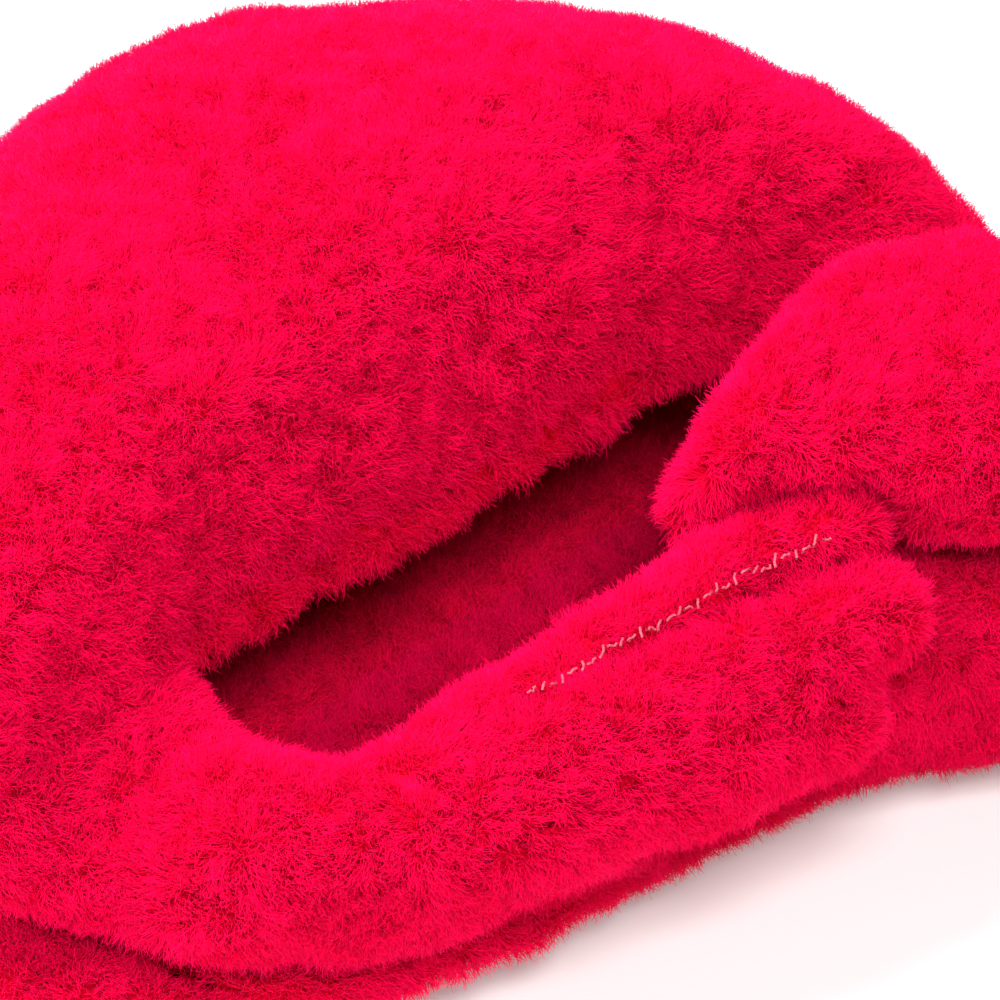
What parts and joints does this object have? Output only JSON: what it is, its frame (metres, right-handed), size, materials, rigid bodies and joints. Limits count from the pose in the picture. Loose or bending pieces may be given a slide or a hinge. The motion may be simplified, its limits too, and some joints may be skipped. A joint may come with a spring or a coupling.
{
  "type": "convertible flip-top mitten",
  "caption": "Plush right-hand mitten with a finger slit across the palm and a flap over the fingers that folds back over the back of the hand.",
  "frame": {"origin": "under the middle of the mitten, on the surface that it lies on", "axes": "+Y towards the fingertips, +X towards the thumb side, +Z out of the palm"},
  "size_m": [0.1507, 0.208, 0.0695],
  "materials": {
    "plush": "plush pile",
    "lining_plush": "plush pile",
    "seam_backing": "knitted",
    "thread": "matte",
    "elastic": "woven"
  },
  "bodies": {
    "hand": {"back_shell": "plush", "hinge_seam": "seam_backing", "palm_shell": "plush", "back_lining": "lining_plush", "palm_lining": "lining_plush", "side_seam_little_finger": "seam_backing", "side_seam_thumb_side": "seam_backing", "cuff_hem": "plush", "wrist_elastic": "elastic", "palm_hem_roll": "plush", "palm_hem_stitching": "thread", "thumb_gusset": "plush"},
    "flap": {"flap_back_shell": "plush", "flap_palm_shell": "plush", "flap_side_seam": "seam_backing", "flap_back_lining": "lining_plush", "flap_palm_lining": "lining_plush", "flap_edge_hem": "plush"},
    "thumb": {"thumb_front_shell": "plush", "thumb_back_shell": "plush", "thumb_side_seam": "seam_backing", "thumb_lining": "lining_plush"}
  },
  "joints": [
    {"name": "flap_hinge", "type": "hinge", "parent": "hand", "child": "flap", "pos_m": [-0.00069, 0.02321, 0], "axis": [-0.8339, 0.5519, 0], "range_deg": [0, 165]},
    {"name": "thumb_hinge", "type": "hinge", "parent": "hand", "child": "thumb", "pos_m": [0.018, -0.062, 0.063], "axis": [0.9662, 0.2577, 0], "range_deg": [0, 65]}
  ]
}
